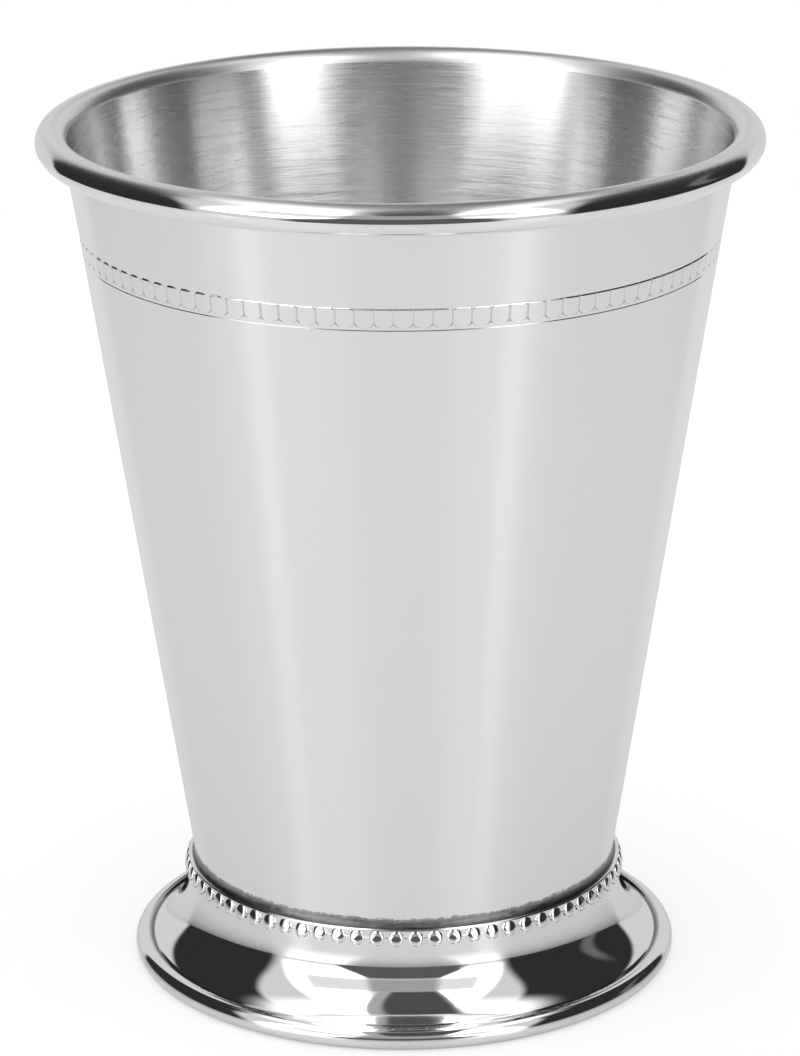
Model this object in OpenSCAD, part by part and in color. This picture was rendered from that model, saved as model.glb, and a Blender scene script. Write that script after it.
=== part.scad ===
// Julep cup: a tapered sheet-metal cup with a rolled rim and an engraved band, standing on
// a spun foot with a row of beads round its collar. Millimetres, +Z up, origin at the
// centre of the circle that the foot rests on.

/* [Cup wall] */
// Height from the table to the top of the rolled rim
cup_h = 109.7; // [80:0.1:160]
// Diameter across the rolled rim
rim_d = 90; // [70:0.5:120]
// Thickness of the rolled rim, top to bottom
rim_roll_d = 3.9; // [2.5:0.1:6]
// Sheet thickness of the wall
wall_t = 0.6; // [0.4:0.05:1]
// Inner diameter of the wall at its lower edge
wall_foot_d = 51.43; // [40:0.01:62]

/* [Engraved band] */
// Distance from the top of the rim down to the band's upper line
band_drop = 13.36; // [8:0.02:40]
// Distance between the band's two lines
band_h = 2.66; // [1.6:0.02:5]
// Width of the two engraved lines
line_w = 0.3; // [0.15:0.05:0.6]
// Depth of the two engraved lines
line_depth = 0.12; // [0.05:0.01:0.2]
// Number of cells round the band
cell_count = 109; // [40:1:140]
// Width of the mark between two cells
cell_mark_w = 0.16; // [0.1:0.02:0.4]
// Depth of the mark between two cells
cell_mark_depth = 0.08; // [0.04:0.01:0.15]
// Space left between a cell's mark and the lower line
cell_foot_gap = 0.3; // [0.1:0.05:0.6]
// Angle of the first mark from the front, in degrees
cell_turn = -1.28; // [-5:0.01:5]

/* [Cup floor] */
// Sheet thickness of the floor disc
floor_t = 0.8; // [0.5:0.05:1.2]
// Height of the floor's flange, from its lower edge to the floor's upper face
flange_h = 2.8; // [2:0.1:5]
// Length of wall left below the flange
wall_lap = 0.6; // [0.3:0.05:1.5]
// Outer radius of the bend between floor and flange
floor_bend_r = 1.3; // [1.25:0.05:2]
// Rise of the floor's middle above its edge
floor_rise = 0.8; // [0:0.1:2]

/* [Foot] */
// Height from the table to the top of the foot's collar
foot_h = 13.35; // [10:0.05:20]
// Distance from the collar's outer face to the foot's outermost edge
foot_spread = 7.05; // [5:0.05:14]
// Thickness of the foot's rolled edge
foot_roll_d = 2.8; // [2:0.1:3.6]
// Sheet thickness of the foot
foot_t = 0.6; // [0.4:0.05:0.8]
// Depth of the flat that the foot stands on
rest_flat = 0.08; // [0.03:0.01:0.2]
// Angle on the rolled edge, up from level, where the flare meets it
crease_turn = 57.5; // [40:0.5:70]
// Turn of the flare, from upright at the collar to the crease, in degrees
flare_turn = 66; // [50:1:85]
// Height of the collar, from where the flare ends to the collar's top
collar_h = 3.35; // [2.2:0.05:4.5]
// Gap between the collar's inside and the wall, at the collar's top
collar_gap = 0.33; // [0.1:0.01:0.6]
// Depth that the wall's lower edge sits below the collar's top
wall_seat = 4.15; // [3:0.05:6]
// Edge radius of the collar's lip
lip_r = 0.25; // [0.1:0.05:0.35]

/* [Bead wire] */
// Number of beads round the collar
bead_count = 72; // [30:1:76]
// Diameter of a bead
bead_d = 1.95; // [1.2:0.05:2.1]
// Distance from the collar's top down to the beads' centres
bead_drop = 1.1; // [0.9:0.05:1.3]
// Diameter of the wire that links the beads
bead_core_d = 0.8; // [0.4:0.05:1.1]
// Gap between that wire and the collar
bead_core_gap = 0.06; // [0.04:0.01:0.15]
// Angle of the first bead from the front, in degrees
bead_turn = -2.08; // [-5:0.01:5]

/* [Solder] */
// Height that the collar solder climbs above the collar's edge
collar_solder_rise = 1.3; // [0.6:0.05:1.8]
// Depth of the solder between collar and wall
collar_solder_depth = 1.75; // [0.8:0.05:1.9]
// Width of collar lip that the solder covers
collar_solder_lap = 0.15; // [0.05:0.05:0.25]
// Width of the solder fillet under the floor's flange
floor_solder_w = 0.5; // [0.3:0.05:0.7]

/* [Hidden] */
round_fn = 288;
front_turn = -90;

// Steps along the curved stretches of an outline
curl_steps = 40;
flare_steps = 28;
bend_steps = 8;
core_steps = 4;
dome_steps = 12;
fillet_steps = 8;

// Heights of the pieces that sit in the foot, one above the other
collar_top_z = foot_h;
wall_foot_z = collar_top_z - wall_seat;
flange_foot_z = wall_foot_z + wall_lap;
floor_z = flange_foot_z + flange_h;
flare_top_z = collar_top_z - collar_h;
bead_z = collar_top_z - bead_drop;

// Rolled rim: centre and radius of the roll, and the radius of the hollow inside it
rim_roll_r = rim_roll_d / 2;
rim_hollow_r = rim_roll_r - wall_t;
rim_roll_x = rim_d / 2 - rim_roll_r;
rim_roll_z = cup_h - rim_roll_r;

// Lean of the wall: its inner face runs from the lower edge and touches the roll's circle
wall_run_x = rim_roll_x - wall_foot_d / 2;
wall_run_z = rim_roll_z - wall_foot_z;
wall_run = sqrt(wall_run_x * wall_run_x + wall_run_z * wall_run_z);
wall_lean = asin(wall_run_x / wall_run) - asin(rim_roll_r / wall_run);

// The roll starts where the wall's inner face touches its circle and ends just short of the wall
curl_start = 180 - wall_lean;
curl_gap_turn = 3;
curl_end = curl_start - 360 + acos(rim_hollow_r / rim_roll_r) + curl_gap_turn;

// Foot: collar round the wall, centre and radius of the rolled edge, and the flat it stands on
collar_in_r = wall_out(collar_top_z) + collar_gap;
collar_r = collar_in_r + foot_t;
foot_roll_r = foot_roll_d / 2;
foot_hollow_r = foot_roll_r - foot_t;
foot_roll_x = collar_r + foot_spread - foot_roll_r;
foot_roll_z = foot_roll_r - rest_flat;
foot_flat_turn = acos(foot_roll_z / foot_roll_r);
foot_curl_start = 180 - crease_turn;
foot_curl_end = -190;
crease_r = foot_roll_x + foot_roll_r * cos(foot_curl_start);
crease_z = foot_roll_z + foot_roll_r * sin(foot_curl_start);
flare_w = crease_r - collar_r;
flare_h = flare_top_z - crease_z;

// Half the width and half the height of the ellipse that the flare is a piece of
flare_half_w = flare_w / (1 - cos(flare_turn));
flare_half_h = flare_h / sin(flare_turn);

// Band: the marks run from the upper line down to a gap above the lower line
band_top_z = cup_h - band_drop;
band_bottom_z = band_top_z - band_h;
cell_mark_bottom_z = band_bottom_z + cell_foot_gap;
cell_mark_mid_z = (band_top_z + cell_mark_bottom_z) / 2;
cell_mark_h = (band_top_z - cell_mark_bottom_z) / cos(wall_lean);

// Bends are drawn as powers of their height: a higher power hugs the wall longer
solder_power = 2.6;

// Radius of the wall's outer and inner face at a height
function wall_out(z) = rim_roll_x - rim_hollow_r / cos(wall_lean) + (z - rim_roll_z) * tan(wall_lean);
function wall_in(z) = rim_roll_x - rim_roll_r / cos(wall_lean) + (z - rim_roll_z) * tan(wall_lean);

// Points of an arc, from one angle to another
function arc(cx, cz, r, from, to, steps) =
    [for (i = [0:steps]) let (a = from + (to - from) * i / steps) [cx + r * cos(a), cz + r * sin(a)]];

// One engraved line seen in section: in at the lower side, out at the upper side
function engraved_line(z) = [
    [wall_out(z + line_w / 2), z + line_w / 2],
    [wall_out(z) - line_depth, z],
    [wall_out(z - line_w / 2), z - line_w / 2]
];

// The flare is a piece of an ellipse, upright at the collar and still falling at the crease;
// the turn goes from 0 at the collar to its end at the crease, and skin is a depth below the face
function flare_point(turn, skin) =
    let (
        dx = flare_half_w * sin(turn),
        dz = flare_half_h * cos(turn),
        len = sqrt(dx * dx + dz * dz)
    )
    [
        collar_r + flare_half_w * (1 - cos(turn)) - skin * dz / len,
        flare_top_z - flare_half_h * sin(turn) - skin * dx / len
    ];

module turned(points) {
    rotate_extrude($fn = round_fn) polygon(points);
}

// Tapered wall with its rolled rim, and the two engraved lines
module wall_blank() {
    turned(concat(
        [[wall_in(wall_foot_z), wall_foot_z]],
        arc(rim_roll_x, rim_roll_z, rim_roll_r, curl_start, curl_end, curl_steps),
        arc(rim_roll_x, rim_roll_z, rim_hollow_r, curl_end, curl_start, curl_steps),
        engraved_line(band_top_z),
        engraved_line(band_bottom_z),
        [[wall_out(wall_foot_z), wall_foot_z]]
    ));
}

// One mark between two cells of the band, lying in the wall's outer face
module cell_mark() {
    translate([wall_out(cell_mark_mid_z), 0, cell_mark_mid_z])
        rotate([0, wall_lean, 0])
            cube([2 * cell_mark_depth, cell_mark_w, cell_mark_h], center = true);
}

module cup_wall() {
    color("gainsboro")
        difference() {
            wall_blank();
            for (i = [0:cell_count - 1])
                rotate([0, 0, front_turn + cell_turn + i * 360 / cell_count]) cell_mark();
        }
}

// A point of the domed floor, at a share of the way in from its edge and a depth below its top
function dome_point(edge_r, share, depth) =
    [edge_r * (1 - share), floor_z - depth + floor_rise * pow(sin(90 * share), 2)];

// Pressed disc with a flange turned down, wedged in the tapered wall
module cup_floor() {
    bend_z = floor_z - floor_bend_r;
    bend_x = wall_in(bend_z) - floor_bend_r;
    bend_in_r = floor_bend_r - floor_t;
    color("silver")
        turned(concat(
            [[wall_in(flange_foot_z), flange_foot_z]],
            arc(bend_x, bend_z, floor_bend_r, 0, 90, bend_steps),
            [for (i = [1:dome_steps]) dome_point(bend_x, i / dome_steps, 0)],
            [for (i = [dome_steps:-1:1]) dome_point(bend_x, i / dome_steps, floor_t)],
            arc(bend_x, bend_z, bend_in_r, 90, 0, bend_steps),
            [[wall_in(flange_foot_z) - floor_t, flange_foot_z]]
        ));
}

// Collar, flare and rolled edge, all one spun sheet
module foot_skirt() {
    color("lightgray")
        turned(concat(
            [[collar_in_r, collar_top_z]],
            arc(collar_r - lip_r, collar_top_z - lip_r, lip_r, 90, 0, bend_steps),
            [for (i = [0:flare_steps - 1]) flare_point(flare_turn * i / flare_steps, 0)],
            arc(foot_roll_x, foot_roll_z, foot_roll_r, foot_curl_start, foot_flat_turn - 90, curl_steps),
            arc(foot_roll_x, foot_roll_z, foot_roll_r, -90 - foot_flat_turn, foot_curl_end, curl_steps / 2),
            arc(foot_roll_x, foot_roll_z, foot_hollow_r, foot_curl_end, foot_curl_start, curl_steps),
            [for (i = [flare_steps:-1:0]) flare_point(flare_turn * i / flare_steps, foot_t)]
        ));
}

// One bead, half a ball with its flat back against the collar
module bead() {
    translate([collar_r, 0, bead_z])
        difference() {
            rotate([0, 90, 0])
                sphere(d = bead_d, $fn = 48);
            translate([-bead_d, -bead_d, -bead_d])
                cube([bead_d, 2 * bead_d, 2 * bead_d]);
        }
}

// Beads in a row round the collar, on the thin wire that links them
module bead_wire() {
    color("whitesmoke") {
        turned(arc(collar_r + bead_core_gap, bead_z, bead_core_d / 2, 90, -90, core_steps));
        for (i = [0:bead_count - 1])
            rotate([0, 0, front_turn + bead_turn + i * 360 / bead_count]) bead();
    }
}

// Solder that fills the space between collar and wall and climbs the wall in a fillet
module collar_solder() {
    top_z = collar_top_z + collar_solder_rise;
    low_z = collar_top_z - collar_solder_depth;
    lap_r = collar_in_r + collar_solder_lap;
    spread = lap_r - wall_out(collar_top_z);
    color("dimgray")
        turned(concat(
            [for (i = [0:fillet_steps]) let (s = i / fillet_steps, z = top_z - collar_solder_rise * s)
                [wall_out(z) + spread * pow(s, solder_power), z]],
            [
                [collar_in_r, collar_top_z],
                [collar_in_r, low_z],
                [wall_out(low_z), low_z]
            ]
        ));
}

// Small solder fillet between the floor's flange and the wall, seen from below
module floor_solder() {
    color("gray")
        turned([
            [wall_in(flange_foot_z), flange_foot_z],
            [wall_in(flange_foot_z) - floor_solder_w, flange_foot_z],
            [wall_in(wall_foot_z), wall_foot_z]
        ]);
}

cup_wall();
cup_floor();
foot_skirt();
bead_wire();
collar_solder();
floor_solder();
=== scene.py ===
import math
import random

import bmesh
import bpy
from mathutils import Matrix


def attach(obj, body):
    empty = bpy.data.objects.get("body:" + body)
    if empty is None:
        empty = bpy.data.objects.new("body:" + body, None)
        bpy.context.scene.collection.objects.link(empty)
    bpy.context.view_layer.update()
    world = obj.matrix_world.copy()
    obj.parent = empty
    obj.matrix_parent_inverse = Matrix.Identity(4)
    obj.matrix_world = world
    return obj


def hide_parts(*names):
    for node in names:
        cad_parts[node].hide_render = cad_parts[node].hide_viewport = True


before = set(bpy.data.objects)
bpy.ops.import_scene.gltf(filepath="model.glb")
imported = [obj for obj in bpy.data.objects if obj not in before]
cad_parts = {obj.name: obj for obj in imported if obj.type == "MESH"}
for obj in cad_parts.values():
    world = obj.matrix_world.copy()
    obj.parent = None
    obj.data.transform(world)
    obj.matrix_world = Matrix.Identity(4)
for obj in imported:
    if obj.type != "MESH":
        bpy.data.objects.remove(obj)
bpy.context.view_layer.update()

# Lengths are in millimetres, and turns in degrees where math.radians hasn't changed them
MM = 0.001
FRONT = math.radians(-90)

# Sizes of the cup's wall
CUP_H = 109.7
RIM_D = 90.0
RIM_ROLL_R = 1.95
WALL_T = 0.6
LEAN = math.radians(8.86)
WALL_FOOT_Z = 9.2
RIM_HOLLOW_R = RIM_ROLL_R - WALL_T
RIM_X = RIM_D / 2 - RIM_ROLL_R
RIM_Z = CUP_H - RIM_ROLL_R
CURL_GAP_TURN = 3
BELOW_ROLL_IN = 2
BELOW_ROLL_OUT = 1.5

# Sizes of the engraved band
BAND_TOP_Z = 96.34
BAND_BOTTOM_Z = 93.68
LINE_HALF = 0.13
LINE_DEPTH = 0.05
TOP_LINE_DEPTH = 0.09
CELLS = 109
CELL_TURN = math.radians(-1.28)
CELL_HEAD_GAP = 0.02
CELL_FOOT_GAP = 0.36
CELL_TOP = BAND_TOP_Z - CELL_HEAD_GAP
CELL_BOTTOM = BAND_BOTTOM_Z + CELL_FOOT_GAP
CELL_TOP_CORNER = 0.4
CELL_BOTTOM_CORNER = 0.75
MARK_HALF = 0.075
MARK_DEPTH = 0.06
MARK_REACH = 0.1
MARK_FADE = 0.7
# Painted shade in the marks between the cells: the share by which it darkens them
MARK_PAINTED_SHADE = 0.3

# The upper line is broken into dashes on the cup's left side
DASH_DEPTH = 0.12
DASHED_SIDE = -0.5
DASH_FROM_SHARE = -0.45
DASH_TO_SHARE = 0.1

# Sizes of the cup's floor
FLOOR_T = 0.8
FLOOR_Z = 12.6
FLANGE_Z = 9.8
FLOOR_BEND_R = 1.3
FLOOR_RISE = 0.8

# The floor's points stop at this share of the way to its middle
MIDDLE_SHARE = 0.999

# Sizes of the foot
FOOT_D = 69.9
FOOT_ROLL_R = 1.4
FOOT_T = 0.6
REST_FLAT = 0.08
COLLAR_R = 27.9
COLLAR_TOP_Z = 13.35
LIP_R = 0.25
FLARE_TOP_Z = 10.0
FLARE_TURN = 66
CREASE_Z = 2.5
CREASE_SINK = 0.2
CREASE_REACH = 0.3
# Painted shade along the foot's crease: how much it darkens, how far it reaches, how far out its middle
# lies and how it fades
CREASE_PAINTED_SHADE = 0.75
CREASE_SHADE_REACH = 0.5
CREASE_SHADE_OUT = 0.2
CREASE_SHADE_FADE = 1.5
COLLAR_IN = COLLAR_R - FOOT_T
FOOT_HOLLOW_R = FOOT_ROLL_R - FOOT_T
FOOT_X = FOOT_D / 2 - FOOT_ROLL_R
FOOT_Z = FOOT_ROLL_R - REST_FLAT

# Sizes of the beads
BEADS = 72
BEAD_R = 0.975
BEAD_Z = 12.25
BEAD_TURN = math.radians(-2.08)
BEAD_RELIEF = 0.42
BEAD_FULLNESS = 2.6
BEAD_TILT = math.tan(math.radians(15))
CORE_R = 0.06
CORE_STAND_OFF = 0.02

# Sizes of the two solder seams
SOLDER_TOP_Z = 14.65
SOLDER_LOW_Z = 11.6
SOLDER_LAP = 0.15
FILLET_BEND = 2.6
SEAM_COLS = 720
# Painted shade on the collar seam, growing down towards the collar, and bright flecks along its upper edge
SEAM_PAINTED_SHADE = 0.75
SEAM_SHADE_FADE = 1.2
SEAM_FLECK = 2.2
SEAM_FLECK_REACH = 0.3
FLOOR_SOLDER_W = 0.5
FLOOR_SOLDER_SAG = 0.06


def wall_out(z):
    return RIM_X - RIM_HOLLOW_R / math.cos(LEAN) + (z - RIM_Z) * math.tan(LEAN)


def wall_in(z):
    return RIM_X - RIM_ROLL_R / math.cos(LEAN) + (z - RIM_Z) * math.tan(LEAN)


def arc(cx, cz, r, start, end, steps):
    """Points of an arc in section, with angles in degrees."""
    out = []
    for i in range(steps + 1):
        a = math.radians(start + (end - start) * i / steps)
        out.append((cx + r * math.cos(a), cz + r * math.sin(a)))
    return out


def spaced(a, b, steps):
    return [a + (b - a) * i / steps for i in range(steps + 1)]


def even_angles(count):
    return [FRONT + 2 * math.pi * j / count for j in range(count)]


def tagged(points, tag):
    return [(r, z, tag) for r, z in points]


# Meshes
def new_object(name, verts, faces, materials, face_slots=None, sharp=35):
    """An object of points in millimetres, smooth but for edges sharper than so many degrees."""
    mesh = bpy.data.meshes.new(name)
    mesh.from_pydata([(x * MM, y * MM, z * MM) for x, y, z in verts], [], faces)
    for m in materials:
        mesh.materials.append(m)
    if face_slots:
        mesh.polygons.foreach_set("material_index", face_slots)
    mesh.polygons.foreach_set("use_smooth", [True] * len(mesh.polygons))
    mesh.set_sharp_from_angle(angle=math.radians(sharp))
    mesh.update()
    obj = bpy.data.objects.new(name, mesh)
    bpy.context.scene.collection.objects.link(obj)
    return obj


def fix_normals(obj):
    bm = bmesh.new()
    bm.from_mesh(obj.data)
    bmesh.ops.recalc_face_normals(bm, faces=bm.faces)
    bm.to_mesh(obj.data)
    bm.free()


def turned(name, profile, angles, materials, slot_of=None, shape=None, sharp=35, grime=None):
    """A closed section turned about the axis. profile is a list of (r, z, tag), and shape
    may move a point by its angle number; slot_of gives a face's material from its tags,
    and the last argument how far painted shade darkens a point, below zero lightening it."""
    rows, cols = len(profile), len(angles)
    verts = []
    for r, z, tag in profile:
        for j, a in enumerate(angles):
            rr, zz = shape(j, r, z, tag) if shape else (r, z)
            verts.append((rr * math.cos(a), rr * math.sin(a), zz))
    faces, slots = [], []
    for i in range(rows):
        k = (i + 1) % rows
        for j in range(cols):
            m = (j + 1) % cols
            faces.append((i * cols + j, k * cols + j, k * cols + m, i * cols + m))
            slots.append(slot_of(profile[i][2], profile[k][2]) if slot_of else 0)
    obj = new_object(name, verts, faces, materials, slots, sharp)
    fix_normals(obj)
    # Painted shade, stored on the points for the materials to darken their colour
    if grime:
        layer = obj.data.attributes.new("grime", "FLOAT", "POINT")
        values = [grime(j, r, z, tag) for r, z, tag in profile for j in range(cols)]
        layer.data.foreach_set("value", values)
    return obj


# Materials
class Nodes:
    """A short way to add nodes to a tree."""

    def __init__(self, tree):
        self.tree = tree

    def node(self, kind, **props):
        n = self.tree.nodes.new(kind)
        for k, v in props.items():
            setattr(n, k, v)
        return n

    def link(self, source, target):
        self.tree.links.new(source, target)

    def put(self, socket, value):
        if isinstance(value, bpy.types.NodeSocket):
            self.link(value, socket)
        else:
            socket.default_value = value

    def math(self, op, a, b=None):
        n = self.node("ShaderNodeMath", operation=op)
        self.put(n.inputs[0], a)
        if b is not None:
            self.put(n.inputs[1], b)
        return n.outputs[0]

    def vector(self, op, a, b=None):
        n = self.node("ShaderNodeVectorMath", operation=op)
        self.put(n.inputs[0], a)
        if b is not None:
            self.put(n.inputs["Scale" if op == "SCALE" else 1], b)
        return n.outputs[0]

    def step(self, value, lo, hi, out_lo=0.0, out_hi=1.0):
        """A smooth rise from out_lo to out_hi as value goes from lo to hi."""
        n = self.node("ShaderNodeMapRange", interpolation_type="SMOOTHSTEP")
        self.put(n.inputs["Value"], value)
        n.inputs["From Min"].default_value = lo
        n.inputs["From Max"].default_value = hi
        n.inputs["To Min"].default_value = out_lo
        n.inputs["To Max"].default_value = out_hi
        return n.outputs["Result"]

    def mix(self, factor, a, b):
        n = self.node("ShaderNodeMix", data_type="FLOAT")
        self.put(n.inputs["Factor"], factor)
        self.put(n.inputs["A"], a)
        self.put(n.inputs["B"], b)
        return n.outputs["Result"]

    def noise(self, vector, scale, detail=2.0, rough=0.5):
        n = self.node("ShaderNodeTexNoise")
        self.put(n.inputs["Vector"], vector)
        n.inputs["Scale"].default_value = scale
        n.inputs["Detail"].default_value = detail
        n.inputs["Roughness"].default_value = rough
        return n.outputs["Fac"]

    def object_coords(self, scale=(1, 1, 1)):
        t = self.node("ShaderNodeTexCoord")
        m = self.node("ShaderNodeMapping")
        self.link(t.outputs["Object"], m.inputs["Vector"])
        m.inputs["Scale"].default_value = scale
        return m.outputs["Vector"]

    def bump(self, height, distance):
        n = self.node("ShaderNodeBump")
        n.inputs["Strength"].default_value = 1.0
        n.inputs["Distance"].default_value = distance
        self.put(n.inputs["Height"], height)
        return n


# A noise's values lie mostly between these two
NOISE_LOW, NOISE_HIGH = 0.3, 0.7

# The blue of every grey is this share of its red and green
BLUE_SHARE = 0.995

# Brushed metal has soft, wide lines mixed into its fine ones, and slanting scratches
WIDE_SHARE = 0.35
WIDE_LENGTH, WIDE_THICKNESS = 5, 6
SLANT_DENSITY, SLANT_SPREAD = 1.3, 0.8

# Details to a metre of the hairline scratches and of the solder's grain and clouds
SCRATCH_SCALE = (500, 500, 6000)
GRAIN_SCALE = 2500
CLOUD_SCALE = 500


def metal(name):
    m = bpy.data.materials.new(name)
    m.use_nodes = True
    m.node_tree.nodes.clear()
    n = Nodes(m.node_tree)
    out = n.node("ShaderNodeOutputMaterial")
    bsdf = n.node("ShaderNodeBsdfPrincipled")
    n.link(bsdf.outputs["BSDF"], out.inputs["Surface"])
    bsdf.inputs["Metallic"].default_value = 1.0
    return m, n, bsdf


def grey_range(n, fac, dark, light):
    """A grey between dark and light by fac, darkened by painted shade and lightened by flecks."""
    ramp = n.node("ShaderNodeValToRGB")
    n.put(ramp.inputs["Fac"], fac)
    low, high = ramp.color_ramp.elements
    low.position, low.color = NOISE_LOW, (dark, dark, dark * BLUE_SHARE, 1)
    high.position, high.color = NOISE_HIGH, (light, light, light * BLUE_SHARE, 1)
    # Painted shade: the attribute darkens the grey where shade falls, and its values below zero lighten the
    # seam's flecks
    grime = n.node("ShaderNodeAttribute", attribute_name="grime").outputs["Fac"]
    return n.vector("SCALE", ramp.outputs["Color"], n.math("SUBTRACT", 1.0, grime))


def brushed(name, tone, tone_spread, rough, rough_spread, aniso, streak, line, bump, skew=0.0):
    """Metal with fine lines round the axis. tone and tone_spread are its colour's mean and
    variation, streak and line the length and thickness of the lines in metres, bump their
    depth and skew how far a line leans its surface sideways."""
    m, n, bsdf = metal(name)
    lines = n.noise(n.object_coords((1 / streak, 1 / streak, 1 / line)), 1.0, 3.0, 0.6)
    wide_streak, wide_line = WIDE_LENGTH * streak, WIDE_THICKNESS * line
    wide = n.object_coords((1 / wide_streak, 1 / wide_streak, 1 / wide_line))
    both = n.mix(WIDE_SHARE, lines, n.noise(wide, 1.0, 2.0))
    n.put(bsdf.inputs["Base Color"], grey_range(n, both, tone - tone_spread, tone + tone_spread))
    roughness = n.step(both, NOISE_LOW, NOISE_HIGH, rough - rough_spread, rough + rough_spread)
    n.put(bsdf.inputs["Roughness"], roughness)
    bsdf.inputs["Anisotropic"].default_value = aniso
    bsdf.inputs["Anisotropic Rotation"].default_value = 0.25
    tangent = n.node("ShaderNodeTangent", direction_type="RADIAL", axis="Z").outputs["Tangent"]
    n.put(bsdf.inputs["Tangent"], tangent)
    relief = n.bump(lines, bump)
    if skew:
        slant = n.object_coords((SLANT_DENSITY / streak, SLANT_DENSITY / streak, SLANT_SPREAD / line))
        amount = n.step(n.noise(slant, 1.0, 3.0, 0.7), NOISE_LOW, NOISE_HIGH, -skew, skew)
        lean = n.vector("SCALE", tangent, amount)
        surface = n.node("ShaderNodeNewGeometry").outputs["Normal"]
        n.put(relief.inputs["Normal"], n.vector("NORMALIZE", n.vector("ADD", surface, lean)))
    n.put(bsdf.inputs["Normal"], relief.outputs["Normal"])
    return m


def polished(name, rough, wave, wave_depth, tone=0.93, tone_spread=0.015):
    """Mirror-polished metal, faintly uneven over the length wave, with hairline scratches."""
    m, n, bsdf = metal(name)
    scratches = n.noise(n.object_coords(SCRATCH_SCALE), 1.0, 3.0, 0.6)
    n.put(bsdf.inputs["Base Color"], grey_range(n, scratches, tone - tone_spread, tone + tone_spread))
    n.put(bsdf.inputs["Roughness"], n.step(scratches, NOISE_LOW, NOISE_HIGH, rough * 0.7, rough * 1.3))
    uneven_height = n.noise(n.object_coords((1 / wave, 1 / wave, 1 / wave)), 1.0, 1.0)
    n.put(bsdf.inputs["Normal"], n.bump(uneven_height, wave_depth).outputs["Normal"])
    return m


def soften_rim(m, polished_turn=14, satin_turn=66, polished_rough=0.05, satin_rough=0.34):
    """The rolled rim is satin on its inside and top and polished on its outside. The turns
    are degrees round the roll, up from its outermost line."""
    n = Nodes(m.node_tree)
    xyz = n.node("ShaderNodeSeparateXYZ")
    n.put(xyz.inputs["Vector"], n.object_coords())
    x, y, z = (xyz.outputs[k] for k in "XYZ")
    out_r = n.math("SQRT", n.math("ADD", n.math("MULTIPLY", x, x), n.math("MULTIPLY", y, y)))
    turn = n.math("ARCTAN2", n.math("SUBTRACT", z, RIM_Z * MM), n.math("SUBTRACT", out_r, RIM_X * MM))
    rough = n.step(turn, math.radians(polished_turn), math.radians(satin_turn), polished_rough, satin_rough)
    bsdf = next(node for node in m.node_tree.nodes if node.type == "BSDF_PRINCIPLED")
    n.put(bsdf.inputs["Roughness"], rough)


def dull(name, tone, tone_spread, rough, rough_spread, grain_depth):
    """Dull, grainy solder, slightly uneven in tone."""
    m, n, bsdf = metal(name)
    grain = n.noise(n.object_coords(), GRAIN_SCALE, 4.0, 0.65)
    both = n.mix(0.5, grain, n.noise(n.object_coords(), CLOUD_SCALE, 2.0))
    n.put(bsdf.inputs["Base Color"], grey_range(n, both, tone - tone_spread, tone + tone_spread))
    roughness = n.step(both, NOISE_LOW, NOISE_HIGH, rough - rough_spread, rough + rough_spread)
    n.put(bsdf.inputs["Roughness"], roughness)
    n.put(bsdf.inputs["Normal"], n.bump(grain, grain_depth).outputs["Normal"])
    return m


satin_silver = brushed(
    "satin_silver", tone=0.93, tone_spread=0.003, rough=0.14, rough_spread=0.004,
    aniso=0.95, streak=0.012, line=0.0001, bump=0.00000008)
inside_silver = brushed(
    "inside_silver", tone=0.855, tone_spread=0.12, rough=0.23, rough_spread=0.06,
    aniso=0.99, streak=0.0035, line=0.0001, bump=0.0000012, skew=0.008)
floor_silver = brushed(
    "floor_silver", tone=0.84, tone_spread=0.03, rough=0.24, rough_spread=0.03,
    aniso=0.6, streak=0.004, line=0.00016, bump=0.000003)
collar_solder_grey = brushed(
    "collar_solder_grey", tone=0.4, tone_spread=0.2, rough=0.34, rough_spread=0.08,
    aniso=0.0, streak=0.0025, line=0.00012, bump=0.00003)
floor_solder_grey = dull(
    "floor_solder_grey", tone=0.42, tone_spread=0.14, rough=0.5, rough_spread=0.08,
    grain_depth=0.00006)
rim_silver = polished("rim_silver", rough=0.05, wave=0.006, wave_depth=0.0000015)
soften_rim(rim_silver)
foot_silver = polished("foot_silver", rough=0.045, wave=0.008, wave_depth=0.000002)
bead_silver = polished("bead_silver", rough=0.06, wave=0.002, wave_depth=0.000001)

# The cup's wall, with its rolled rim and engraved band
curl_start = 180 - math.degrees(LEAN)
touch_turn = math.degrees(math.acos(RIM_HOLLOW_R / RIM_ROLL_R))
curl_end = curl_start - 360 + touch_turn + CURL_GAP_TURN
pitch = 2 * math.pi * wall_out((BAND_TOP_Z + BAND_BOTTOM_Z) / 2) / CELLS

# Places across a cell where the wall has points, closest near the marks
HALF_CELL_SHARES = [0.08, 0.22, 0.33, 0.4, 0.44, 0.465, 0.485]
CELL_SHARES = [-0.5] + [-s for s in reversed(HALF_CELL_SHARES)] + HALF_CELL_SHARES


def mark_depth(across, z):
    """Depth of the mark round one cell, at a distance across from the cell's middle."""
    if z > CELL_TOP + MARK_REACH or z < CELL_BOTTOM - MARK_REACH:
        return 0.0
    half_w, half_h = pitch / 2, (CELL_TOP - CELL_BOTTOM) / 2
    mid = (CELL_TOP + CELL_BOTTOM) / 2
    corner = CELL_BOTTOM_CORNER if z < mid else CELL_TOP_CORNER
    qx, qz = abs(across) - half_w + corner, abs(z - mid) - half_h + corner
    px, pz = max(qx, 0), max(qz, 0)
    length = math.hypot(px, pz)
    gap = length + min(max(qx, qz), 0) - corner
    upright = px / length if length > 0 else float(qx > qz)
    return MARK_DEPTH * math.exp(-((gap / MARK_HALF) ** 2)) * upright**MARK_FADE


def line_depth(z, line_z, depth):
    return depth * max(0, 1 - abs(z - line_z) / LINE_HALF)


wall_angles = []
cell_across = []
for c in range(CELLS):
    for share in CELL_SHARES:
        wall_angles.append(FRONT + CELL_TURN + 2 * math.pi * (c + 0.5 + share) / CELLS)
        cell_across.append(share * pitch)

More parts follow.
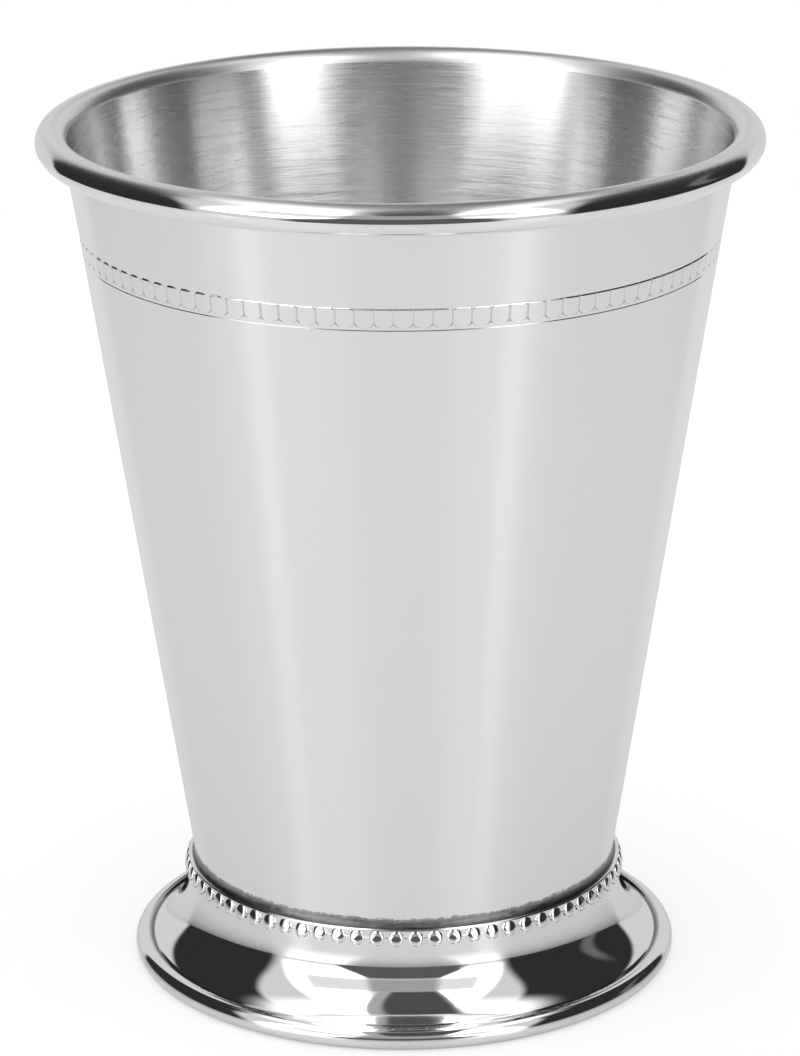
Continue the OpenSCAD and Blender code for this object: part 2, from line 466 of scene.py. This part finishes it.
# Heights of the band's rows of points, closest near its lines and at the cells' lower corners
BAND_MARGIN = 0.3
BAND_CLEAR = 0.6
CORNER_RISE = 0.2
FINE_REACH = 0.2
FINE_ROW, COARSE_ROW = 0.05, 0.1
band_rows = []
z = BAND_TOP_Z + BAND_MARGIN
while z > BAND_BOTTOM_Z - BAND_MARGIN:
    band_rows.append(z)
    near = min(abs(z - BAND_TOP_Z), abs(z - BAND_BOTTOM_Z), abs(z - CELL_BOTTOM - CORNER_RISE))
    z -= FINE_ROW if near < FINE_REACH else COARSE_ROW

inner_rows = spaced(WALL_FOOT_Z, RIM_Z - BELOW_ROLL_IN, 18)
upper_rows = spaced(RIM_Z - BELOW_ROLL_OUT, band_rows[0] + BAND_CLEAR, 4)
lower_rows = spaced(band_rows[-1] - BAND_CLEAR, WALL_FOOT_Z, 18)
wall_profile = tagged([(wall_in(z), z) for z in inner_rows], "in")
wall_profile += tagged(arc(RIM_X, RIM_Z, RIM_ROLL_R, curl_start, curl_end, 60), "roll")
wall_profile += tagged(arc(RIM_X, RIM_Z, RIM_HOLLOW_R, curl_end, curl_start, 16), "hollow")
wall_profile += tagged([(wall_out(z), z) for z in upper_rows], "out")
wall_profile += tagged([(wall_out(z), z) for z in band_rows], "band")
wall_profile += tagged([(wall_out(z), z) for z in lower_rows], "out")


def wall_shape(j, r, z, tag):
    """The band is engraved into the wall."""
    if tag != "band":
        return r, z
    top = TOP_LINE_DEPTH
    if math.cos(wall_angles[j]) < DASHED_SIDE:
        share = cell_across[j] / pitch
        top = DASH_DEPTH if DASH_FROM_SHARE < share < DASH_TO_SHARE else 0.0
    depths = (
        line_depth(z, BAND_TOP_Z, top),
        line_depth(z, BAND_BOTTOM_Z, LINE_DEPTH),
        mark_depth(cell_across[j], z),
    )
    return r - max(depths), z


def wall_grime(j, r, z, tag):
    """The marks between the band's cells are darkened with painted shade."""
    if tag != "band":
        return 0.0
    return MARK_PAINTED_SHADE * min(1, mark_depth(cell_across[j], z) / MARK_DEPTH)


SATIN, RIM, INSIDE = 0, 1, 2


def wall_slot(a, b):
    if "in" in (a, b) and "out" not in (a, b):
        return INSIDE
    return RIM if "roll" in (a, b) else SATIN


wall = turned("wall_with_rolled_rim", wall_profile, wall_angles,
              [satin_silver, rim_silver, inside_silver],
              slot_of=wall_slot, shape=wall_shape, sharp=60, grime=wall_grime)

# The cup's floor
bend_z = FLOOR_Z - FLOOR_BEND_R
bend_x = wall_in(bend_z) - FLOOR_BEND_R


def disc_point(share, face_z):
    """A point of the dished disc, at a share of the way from its edge to its middle."""
    return bend_x * (1 - share), face_z + FLOOR_RISE * math.sin(math.pi / 2 * share) ** 2


shares = spaced(0, MIDDLE_SHARE, 24)
floor_profile = [(wall_in(FLANGE_Z), FLANGE_Z)]
floor_profile += arc(bend_x, bend_z, FLOOR_BEND_R, 0, 90, 16)
floor_profile += [disc_point(s, FLOOR_Z) for s in shares[1:]]
floor_profile += [disc_point(s, FLOOR_Z - FLOOR_T) for s in shares[:0:-1]]
floor_profile += arc(bend_x, bend_z, FLOOR_BEND_R - FLOOR_T, 90, 0, 10)
floor_profile += [(wall_in(FLANGE_Z) - FLOOR_T, FLANGE_Z)]
cup_floor = turned("pressed_floor", tagged(floor_profile, ""), even_angles(240), [floor_silver])

# The foot
curl_from = 180 - math.degrees(math.asin((CREASE_Z - FOOT_Z) / FOOT_ROLL_R))
flat_turn = math.degrees(math.acos(FOOT_Z / FOOT_ROLL_R))
crease_r = FOOT_X + FOOT_ROLL_R * math.cos(math.radians(curl_from))
flare_half_w = (crease_r - COLLAR_R) / (1 - math.cos(math.radians(FLARE_TURN)))
flare_half_h = (FLARE_TOP_Z - CREASE_Z) / math.sin(math.radians(FLARE_TURN))
CURL_STOP = -190
FLARE_STEPS = 90
FLARE_BACK_STEPS = 24
COLLAR_ROW_RISE = 0.3
COLLAR_EDGE_DROP = 0.02
LIP_ROW_DROP = 0.4


def flare_point(turn, skin):
    """A point of the flare, turn degrees from upright and skin below the outer face."""
    a = math.radians(turn)
    dx, dz = flare_half_w * math.sin(a), flare_half_h * math.cos(a)
    length = math.hypot(dx, dz)
    return (COLLAR_R + flare_half_w * (1 - math.cos(a)) - skin * dz / length,
            FLARE_TOP_Z - flare_half_h * math.sin(a) - skin * dx / length)


def sunk(points):
    """Points of the foot's outer face, let down a little next to the crease."""
    out = []
    for r, z in points:
        gap = math.hypot(r - crease_r, z - CREASE_Z) / CREASE_REACH
        out.append((r, z - CREASE_SINK * max(0, 1 - gap)))
    return out


def foot_grime(j, r, z, tag):
    """The crease is darkened with painted shade."""
    if tag != "face":
        return 0.0
    gap = math.hypot(r - crease_r - CREASE_SHADE_OUT, z - CREASE_Z + CREASE_SINK / 2) / CREASE_SHADE_REACH
    return CREASE_PAINTED_SHADE * max(0, 1 - gap**CREASE_SHADE_FADE)


collar_low_z = FLARE_TOP_Z + COLLAR_ROW_RISE
collar = [(COLLAR_IN, z) for z in spaced(collar_low_z, COLLAR_TOP_Z - COLLAR_EDGE_DROP, 3)]
collar += arc(COLLAR_R - LIP_R, COLLAR_TOP_Z - LIP_R, LIP_R, 90, 0, 10)
collar += [(COLLAR_R, z) for z in spaced(COLLAR_TOP_Z - LIP_R - LIP_ROW_DROP, collar_low_z, 4)]
face = sunk([flare_point(FLARE_TURN * i / FLARE_STEPS, 0) for i in range(FLARE_STEPS)])
face += sunk(arc(FOOT_X, FOOT_Z, FOOT_ROLL_R, curl_from, flat_turn - 90, 60))
back_turns = [FLARE_TURN * i / FLARE_BACK_STEPS for i in range(FLARE_BACK_STEPS, -1, -1)]
back = arc(FOOT_X, FOOT_Z, FOOT_ROLL_R, -90 - flat_turn, CURL_STOP, 24)
back += arc(FOOT_X, FOOT_Z, FOOT_HOLLOW_R, CURL_STOP, curl_from, 20)
back += [flare_point(turn, FOOT_T) for turn in back_turns]
foot_profile = tagged(collar, "collar") + tagged(face, "face") + tagged(back, "back")
foot = turned("spun_foot", foot_profile, even_angles(540), [foot_silver], grime=foot_grime)


# The beads on their wire
def add_bead(verts, faces, angle):
    """A low dome with a flat back on the collar, tilted a little upwards."""
    rings, segs = 12, 28
    out = (math.cos(angle), math.sin(angle))
    side = (-math.sin(angle), math.cos(angle))
    base = len(verts)
    for i in range(1, rings + 1):
        share = math.sin(math.pi / 2 * i / rings)
        depth = BEAD_RELIEF * max(0, 1 - share**BEAD_FULLNESS) ** (1 / BEAD_FULLNESS)
        for j in range(segs):
            p = 2 * math.pi * j / segs
            rise = BEAD_R * share * math.sin(p)
            r, s = COLLAR_R + depth - BEAD_TILT * rise, BEAD_R * share * math.cos(p)
            verts.append((r * out[0] + s * side[0], r * out[1] + s * side[1], BEAD_Z + rise))
    tip = len(verts)
    tip_r = COLLAR_R + BEAD_RELIEF
    verts.append((tip_r * out[0], tip_r * out[1], BEAD_Z))
    for j in range(segs):
        m = (j + 1) % segs
        faces.append((tip, base + m, base + j))
        for i in range(rings - 1):
            lo, hi = base + i * segs, base + (i + 1) * segs
            faces.append((lo + j, lo + m, hi + m, hi + j))
    faces.append(tuple(base + (rings - 1) * segs + j for j in range(segs)))


def add_core(verts, faces):
    """The thin wire between the beads."""
    cols = 360
    core = arc(COLLAR_R + CORE_STAND_OFF, BEAD_Z, CORE_R, 90, -90, 8)
    base = len(verts)
    for r, z in core:
        for j in range(cols):
            a = 2 * math.pi * j / cols
            verts.append((r * math.cos(a), r * math.sin(a), z))
    for i in range(len(core)):
        lo, hi = base + i * cols, base + (i + 1) % len(core) * cols
        for j in range(cols):
            m = (j + 1) % cols
            faces.append((lo + j, hi + j, hi + m, lo + m))


bead_verts, bead_faces = [], []
for k in range(BEADS):
    add_bead(bead_verts, bead_faces, FRONT + BEAD_TURN + 2 * math.pi * k / BEADS)
add_core(bead_verts, bead_faces)
beads = new_object("bead_row", bead_verts, bead_faces, [bead_silver], sharp=50)
fix_normals(beads)

# The solder between collar and wall
random.seed(4)


def uneven(count, knots, size):
    """A closed wandering line of count values, smooth between its random knots."""
    values = [random.uniform(-size, size) for _ in range(knots)]
    out = []
    for j in range(count):
        t = j * knots / count
        i, f = int(t) % knots, t % 1
        f = f * f * (3 - 2 * f)
        out.append(values[i] * (1 - f) + values[(i + 1) % knots] * f)
    return out


# Knots and size of each wave of the seam's upper edge
EDGE_WAVES = ((48, 0.1), (160, 0.1), (360, 0.07))
waves = [uneven(SEAM_COLS, knots, size) for knots, size in EDGE_WAVES]
seam_edge = [sum(values) for values in zip(*waves)]
seam_flecks = [random.uniform(0, 1) ** 3 for _ in range(SEAM_COLS)]
seam_rise = SOLDER_TOP_Z - COLLAR_TOP_Z
seam_spread = COLLAR_IN + SOLDER_LAP - wall_out(COLLAR_TOP_Z)

# The fillet's points hold their share of the way down from its upper edge instead of z
seam_profile = tagged([(wall_out(SOLDER_LOW_Z), SOLDER_LOW_Z)], "joint")
seam_profile += tagged([(0, s) for s in spaced(0, 1, 14)], "fillet")
seam_profile += tagged([(COLLAR_IN, COLLAR_TOP_Z), (COLLAR_IN, SOLDER_LOW_Z)], "joint")


def seam_shape(j, r, z, tag):
    if tag == "joint":
        return r, z
    height = SOLDER_TOP_Z + seam_edge[j] - (seam_rise + seam_edge[j]) * z
    return wall_out(height) + seam_spread * z**FILLET_BEND, height


def seam_grime(j, r, z, tag):
    """Bright flecks along the seam's upper edge, and painted shade that grows down towards the collar."""
    if tag == "joint":
        # The joint's points get the seam's full painted shade
        return SEAM_PAINTED_SHADE
    fleck = SEAM_FLECK * seam_flecks[j] * max(0, 1 - z / SEAM_FLECK_REACH)
    return SEAM_PAINTED_SHADE * z**SEAM_SHADE_FADE - fleck


seam = turned("collar_seam", seam_profile, even_angles(SEAM_COLS), [collar_solder_grey],
              shape=seam_shape, grime=seam_grime)

# The solder under the floor's flange
flange_in = wall_in(FLANGE_Z) - FLOOR_SOLDER_W
under_profile = [(wall_in(FLANGE_Z), FLANGE_Z), (flange_in, FLANGE_Z)]
for s in spaced(0.1, 0.9, 6):
    sag = FLOOR_SOLDER_SAG * math.sin(math.pi * s)
    under_profile.append((wall_in(WALL_FOOT_Z) * s + flange_in * (1 - s) + sag,
                          WALL_FOOT_Z * s + FLANGE_Z * (1 - s) + sag))
under_profile.append((wall_in(WALL_FOOT_Z), WALL_FOOT_Z))
under_seam = turned("floor_seam", tagged(under_profile, ""), even_angles(240), [floor_solder_grey])

# What each piece stands for
for piece, node, slot in (
    (wall, "cup_wall", "satin_silver"),
    (cup_floor, "cup_floor", "brushed_silver"),
    (foot, "foot_skirt", "polished_silver"),
    (beads, "bead_wire", "bead_silver"),
    (seam, "collar_solder", "collar_seam_solder"),
    (under_seam, "floor_solder", "floor_seam_solder"),
):
    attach(piece, "root")
    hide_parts(node)

# The studio's floor, a pale disc that keeps the cup's shadow
FLOOR_TONE = 0.68
SHEEN_TONE = 0.7
SHEEN_ROUGH = 0.2
GLOW_SEEN = 0.4
GLOW_MIRRORED = 0.09
DISC_R = 400
DISC_SIDES = 96
DISC_DROP = 0.02


def floor_material():
    """Dull to the eye, with a sheen and a little glow that only reflections see."""
    m = bpy.data.materials.new("studio_floor")
    m.use_nodes = True
    m.node_tree.nodes.clear()
    n = Nodes(m.node_tree)
    out = n.node("ShaderNodeOutputMaterial")
    diffuse = n.node("ShaderNodeBsdfDiffuse")
    diffuse.inputs["Color"].default_value = (FLOOR_TONE, FLOOR_TONE, FLOOR_TONE, 1)
    sheen = n.node("ShaderNodeBsdfGlossy")
    sheen.inputs["Color"].default_value = (SHEEN_TONE, SHEEN_TONE, SHEEN_TONE, 1)
    sheen.inputs["Roughness"].default_value = SHEEN_ROUGH
    path = n.node("ShaderNodeLightPath")
    fresnel = n.node("ShaderNodeFresnel")
    fresnel.inputs["IOR"].default_value = 1.5
    surface = n.node("ShaderNodeMixShader")
    n.put(surface.inputs[0], n.math("MULTIPLY", fresnel.outputs["Fac"], path.outputs["Is Glossy Ray"]))
    n.link(diffuse.outputs["BSDF"], surface.inputs[1])
    n.link(sheen.outputs["BSDF"], surface.inputs[2])
    glow = n.node("ShaderNodeEmission")
    seen = n.math("MULTIPLY", path.outputs["Is Camera Ray"], GLOW_SEEN)
    mirrored = n.math("MULTIPLY", path.outputs["Is Glossy Ray"], GLOW_MIRRORED)
    n.put(glow.inputs["Strength"], n.math("ADD", seen, mirrored))
    add = n.node("ShaderNodeAddShader")
    n.link(surface.outputs["Shader"], add.inputs[0])
    n.link(glow.outputs["Emission"], add.inputs[1])
    n.link(add.outputs["Shader"], out.inputs["Surface"])
    return m


disc_angles = [2 * math.pi * j / DISC_SIDES for j in range(DISC_SIDES)]
disc = [(0, 0, 0)] + [(DISC_R * math.cos(a), DISC_R * math.sin(a), 0) for a in disc_angles]
disc_faces = [(0, 1 + j, 1 + (j + 1) % DISC_SIDES) for j in range(DISC_SIDES)]
studio_floor = new_object("studio_floor", disc, disc_faces, [floor_material()])
studio_floor.location.z = -DISC_DROP * MM

# The studio round the cup
world = bpy.data.worlds.new("studio")
bpy.context.scene.world = world
world.use_nodes = True
world.node_tree.nodes.clear()
n = Nodes(world.node_tree)
out = n.node("ShaderNodeOutputWorld")
background = n.node("ShaderNodeBackground")
n.link(background.outputs["Background"], out.inputs["Surface"])
coords = n.node("ShaderNodeTexCoord")
xyz = n.node("ShaderNodeSeparateXYZ")
n.link(coords.outputs["Generated"], xyz.inputs["Vector"])

# Azimuth is in degrees from the camera's side, positive to the right, and height in
# degrees above level. A soft edge reaches so many of them to either side.
TO_DEG = 180 / math.pi
toward_camera = n.math("MULTIPLY", xyz.outputs["Y"], -1.0)
azimuth = n.math("MULTIPLY", n.math("ARCTAN2", xyz.outputs["X"], toward_camera), TO_DEG)
height = n.math("MULTIPLY", n.math("ARCSINE", xyz.outputs["Z"]), TO_DEG)
across = xyz.outputs["X"]


def above(value, edge, soft):
    return n.step(value, edge - soft, edge + soft)


def below(value, edge, soft):
    return n.step(value, edge - soft, edge + soft, 1.0, 0.0)


def oval(mid_across, mid_height, half_across, half_height, soft):
    """A mask that is 1 in an oval of the sideways part of a direction and its height."""
    a = n.math("DIVIDE", n.math("SUBTRACT", across, mid_across), half_across)
    b = n.math("DIVIDE", n.math("SUBTRACT", height, mid_height), half_height)
    from_middle = n.math("SQRT", n.math("ADD", n.math("MULTIPLY", a, a), n.math("MULTIPLY", b, b)))
    return below(from_middle, 1.0, soft)


def panel(light, level, *masks):
    """One panel of the studio, where all its masks are 1."""
    mask = masks[0]
    for other in masks[1:]:
        mask = n.math("MULTIPLY", mask, other)
    return n.mix(mask, light, level)


def leaning(value, lean):
    """The azimuth, moved sideways by value times lean."""
    return n.math("ADD", azimuth, n.math("MULTIPLY", value, lean))


# The edges of the dark flags move away from the camera's side with height, the near ones
# in a curve and the far ones straight
height_up = n.math("MAXIMUM", height, 0.0)
height_up_squared = n.math("MULTIPLY", height, height_up)
left_near = leaning(height_up_squared, 0.012)
right_near = leaning(height_up_squared, -0.0102)
left_far = leaning(height_up, 0.33)
right_far = leaning(height_up, -0.28)

# A bent, lighter strip in the right flag
RIBBON_BEND_HEIGHT = 8.0
over_bend = n.math("SUBTRACT", height, RIBBON_BEND_HEIGHT)
ribbon = leaning(n.math("MULTIPLY", over_bend, over_bend), -0.05)

# A panel below a level of this has a flat top in the middle that slopes down at both sides,
# like a roof
ROOF_HALF = 18.0
ROOF_SLOPE = 1.1
beside_roof = n.math("MAXIMUM", n.math("SUBTRACT", n.math("ABSOLUTE", azimuth), ROOF_HALF), 0.0)
roof = n.math("ADD", height, n.math("MULTIPLY", beside_roof, ROOF_SLOPE))

# Levels of light
ROOM = 0.66
CEILING = 1.25
FLAG = 0.026
RIBBON = 0.14
BOX = 2.8
COUNTER = 0.1
LOBE_EDGE = 0.4
LOBE = 0.075
STRIP = 0.8
STRIP_MIDDLE = 0.36

light = n.mix(above(height, 58, 6), ROOM, CEILING)
light = panel(light, FLAG, above(left_far, -136, 2), below(left_near, -68, 4), below(height, 57, 6))
light = panel(light, FLAG, above(right_near, 51.5, 4), below(right_far, 135, 2), below(height, 58, 6))
light = panel(light, RIBBON, above(ribbon, 100, 3), below(ribbon, 109, 3),
              above(height, -4, 3), below(height, 26, 6))
light = panel(light, BOX, above(azimuth, -62, 4), below(azimuth, -21, 4),
              above(height, 3, 3), below(height, 87, 2))
light = panel(light, BOX, above(azimuth, 19, 4), below(azimuth, 49, 4),
              above(height, 3, 3), below(height, 87, 2))
light = panel(light, COUNTER, above(azimuth, -36, 5), below(azimuth, 31, 5), below(roof, 19, 2))
light = panel(light, LOBE_EDGE, oval(0.03, 58, 0.25, 33, 0.06))
light = panel(light, LOBE, oval(0.065, 60, 0.195, 32, 0.12))
light = panel(light, STRIP, above(azimuth, -52, 1.5), below(azimuth, 39, 1.5),
              above(height, 20, 2), below(height, 40, 2))
light = panel(light, STRIP_MIDDLE, above(azimuth, -19, 3), below(azimuth, 18, 3),
              above(height, 20, 2), below(height, 41, 2))

# Only reflections see the panels, and all else sees plain white
paths = n.node("ShaderNodeLightPath")
n.put(background.inputs["Strength"], n.mix(paths.outputs["Is Glossy Ray"], 1.0, light))
background.inputs["Color"].default_value = (1, 1, 1, 1)

# The camera, as fitted to the photograph
FRAME_H = 1056
FOCAL_PX = 4484.41
CENTRE_OFF_PX = 2.293
SENSOR_MM = 36
CAMERA_AT = (0, -0.540985, 0.233319)
CAMERA_DOWN = 18.0793
CAMERA_ROLL = -0.0048
cam_data = bpy.data.cameras.new("camera")
cam_data.sensor_width = SENSOR_MM
cam_data.lens = FOCAL_PX * SENSOR_MM / FRAME_H
cam_data.shift_x = -CENTRE_OFF_PX / FRAME_H
cam_data.clip_start = 0.01
cam_data.clip_end = 50
camera = bpy.data.objects.new("camera", cam_data)
bpy.context.scene.collection.objects.link(camera)
camera.matrix_world = (
    Matrix.Translation(CAMERA_AT)
    @ Matrix.Rotation(math.radians(90 - CAMERA_DOWN), 4, "X")
    @ Matrix.Rotation(CAMERA_ROLL, 4, "Z")
)
bpy.context.scene.camera = camera
bpy.context.scene.view_settings.view_transform = "Standard"
